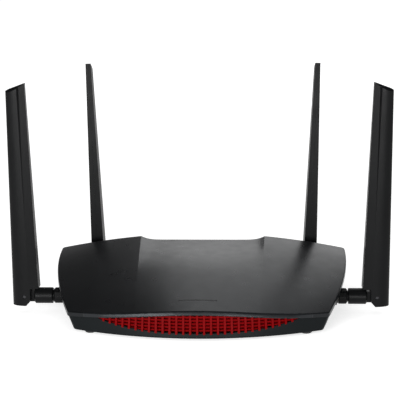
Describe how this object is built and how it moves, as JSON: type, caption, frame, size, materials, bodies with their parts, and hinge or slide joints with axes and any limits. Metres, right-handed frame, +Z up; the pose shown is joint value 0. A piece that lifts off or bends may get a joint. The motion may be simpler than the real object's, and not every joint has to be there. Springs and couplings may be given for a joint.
{
  "type": "wireless router",
  "caption": "Flat black wireless router with a sculpted top, a ribbed front grille and fold-and-swivel antennas on its sides and rear.",
  "frame": {"origin": "on the table plane, under the middle of the whole object's bounding box", "axes": "+X to the right seen from the front, +Y to the rear, +Z up"},
  "size_m": [0.2728, 0.17, 0.1704],
  "materials": {
    "cover_black": "satin black moulded plastic",
    "case_black": "fine grained black moulded plastic",
    "grille_red": "semi gloss red moulded plastic",
    "panel_black": "matt black moulded plastic",
    "lan_yellow": "glossy yellow moulded plastic",
    "wan_blue": "glossy blue moulded plastic",
    "nickel": "bright nickel plate",
    "button_black": "semi gloss black plastic",
    "antenna_black": "semi gloss black plastic",
    "jack_brass": "gold plated brass",
    "pin_steel": "drawn steel",
    "board_green": "green solder resist",
    "chip_black": "black epoxy package",
    "sink_metal": "plain anodised aluminium",
    "can_steel": "tinned steel sheet",
    "pad_grey": "soft grey silicone",
    "light_clear": "smoked clear plastic",
    "foot_rubber": "matt black rubber"
  },
  "bodies": {
    "router_body": {"top_cover": "cover_black", "bottom_case": "case_black", "front_grille": "grille_red", "rear_panel": "panel_black", "lan_jack_block": "lan_yellow", "wan_jack": "wan_blue", "usb_port": "nickel", "power_inlet": "button_black", "power_switch_frame": "panel_black", "button_switches": "can_steel", "circuit_board": "board_green", "board_screws": "pin_steel", "case_screws": "pin_steel", "chips": "chip_black", "thermal_pads": "pad_grey", "processor_heat_sink": "sink_metal", "radio_heat_sink": "sink_metal", "shield_cans": "can_steel", "status_light_guide": "light_clear", "status_lamps": "light_clear", "lamp_board": "board_green", "foot_front_left": "foot_rubber", "foot_front_right": "foot_rubber", "foot_rear_left": "foot_rubber", "foot_rear_right": "foot_rubber", "jack_left": "jack_brass", "jack_right": "jack_brass", "jack_rear_left": "jack_brass", "jack_rear_right": "jack_brass"},
    "nut_left": {"coupling_nut_left": "antenna_black"},
    "swivel_left": {"swivel_barrel_left": "antenna_black"},
    "blade_left": {"blade_shell_a_left": "antenna_black", "blade_shell_b_left": "antenna_black", "hinge_pin_left": "pin_steel", "radiator_left": "board_green"},
    "nut_right": {"coupling_nut_right": "antenna_black"},
    "swivel_right": {"swivel_barrel_right": "antenna_black"},
    "blade_right": {"blade_shell_a_right": "antenna_black", "blade_shell_b_right": "antenna_black", "hinge_pin_right": "pin_steel", "radiator_right": "board_green"},
    "nut_rear_left": {"coupling_nut_rear_left": "antenna_black"},
    "swivel_rear_left": {"swivel_barrel_rear_left": "antenna_black"},
    "blade_rear_left": {"blade_shell_a_rear_left": "antenna_black", "blade_shell_b_rear_left": "antenna_black", "hinge_pin_rear_left": "pin_steel", "radiator_rear_left": "board_green"},
    "nut_rear_right": {"coupling_nut_rear_right": "antenna_black"},
    "swivel_rear_right": {"swivel_barrel_rear_right": "antenna_black"},
    "blade_rear_right": {"blade_shell_a_rear_right": "antenna_black", "blade_shell_b_rear_right": "antenna_black", "hinge_pin_rear_right": "pin_steel", "radiator_rear_right": "board_green"},
    "power_rocker": {"power_rocker": "button_black"},
    "wps_button": {"wps_button": "button_black"},
    "reset_button": {"reset_button": "button_black"}
  },
  "joints": [
    {"name": "nut_turn_left", "type": "hinge", "parent": "router_body", "child": "nut_left", "pos_m": [-0.0986, -0.0221, 0.0124], "axis": [-1, 0, 0], "continuous": true},
    {"name": "swivel_turn_left", "type": "hinge", "parent": "router_body", "child": "swivel_left", "pos_m": [-0.0986, -0.0221, 0.0124], "axis": [-1, 0, 0], "range_deg": [-90, 90]},
    {"name": "fold_left", "type": "hinge", "parent": "swivel_left", "child": "blade_left", "pos_m": [-0.1274, -0.0221, 0.0124], "axis": [0, -1, 0], "range_deg": [0, 90]},
    {"name": "nut_turn_right", "type": "hinge", "parent": "router_body", "child": "nut_right", "pos_m": [0.0986, -0.0221, 0.0124], "axis": [1, 0, 0], "continuous": true},
    {"name": "swivel_turn_right", "type": "hinge", "parent": "router_body", "child": "swivel_right", "pos_m": [0.0986, -0.0221, 0.0124], "axis": [-1, 0, 0], "range_deg": [-90, 90]},
    {"name": "fold_right", "type": "hinge", "parent": "swivel_right", "child": "blade_right", "pos_m": [0.1274, -0.0221, 0.0124], "axis": [0, 1, 0], "range_deg": [0, 90]},
    {"name": "nut_turn_rear_left", "type": "hinge", "parent": "router_body", "child": "nut_rear_left", "pos_m": [-0.0842, 0.0472, 0.0152], "axis": [0, 1, 0], "continuous": true},
    {"name": "swivel_turn_rear_left", "type": "hinge", "parent": "router_body", "child": "swivel_rear_left", "pos_m": [-0.0842, 0.0472, 0.0152], "axis": [0, 1, 0], "range_deg": [-88.36, 91.64]},
    {"name": "fold_rear_left", "type": "hinge", "parent": "swivel_rear_left", "child": "blade_rear_left", "pos_m": [-0.0842, 0.076, 0.0152], "axis": [-0.9996, 0, -0.0286], "range_deg": [0, 90]},
    {"name": "nut_turn_rear_right", "type": "hinge", "parent": "router_body", "child": "nut_rear_right", "pos_m": [0.0842, 0.0472, 0.0152], "axis": [0, 1, 0], "continuous": true},
    {"name": "swivel_turn_rear_right", "type": "hinge", "parent": "router_body", "child": "swivel_rear_right", "pos_m": [0.0842, 0.0472, 0.0152], "axis": [0, -1, 0], "range_deg": [-88.36, 91.64]},
    {"name": "fold_rear_right", "type": "hinge", "parent": "swivel_rear_right", "child": "blade_rear_right", "pos_m": [0.0842, 0.076, 0.0152], "axis": [-0.9996, 0, 0.0286], "range_deg": [0, 90]},
    {"name": "rocker_tilt", "type": "hinge", "parent": "router_body", "child": "power_rocker", "pos_m": [0.0585, 0.0466, 0.018], "axis": [1, 0, 0], "range_deg": [-16, 0]},
    {"name": "wps_press", "type": "slide", "parent": "router_body", "child": "wps_button", "axis": [0, -1, 0], "range_m": [0, 0.0008], "stiffness_N_per_m": 1500, "springref_m": -0.0002},
    {"name": "reset_press", "type": "slide", "parent": "router_body", "child": "reset_button", "axis": [0, -1, 0], "range_m": [0, 0.0005], "stiffness_N_per_m": 1500, "springref_m": -0.0002}
  ]
}
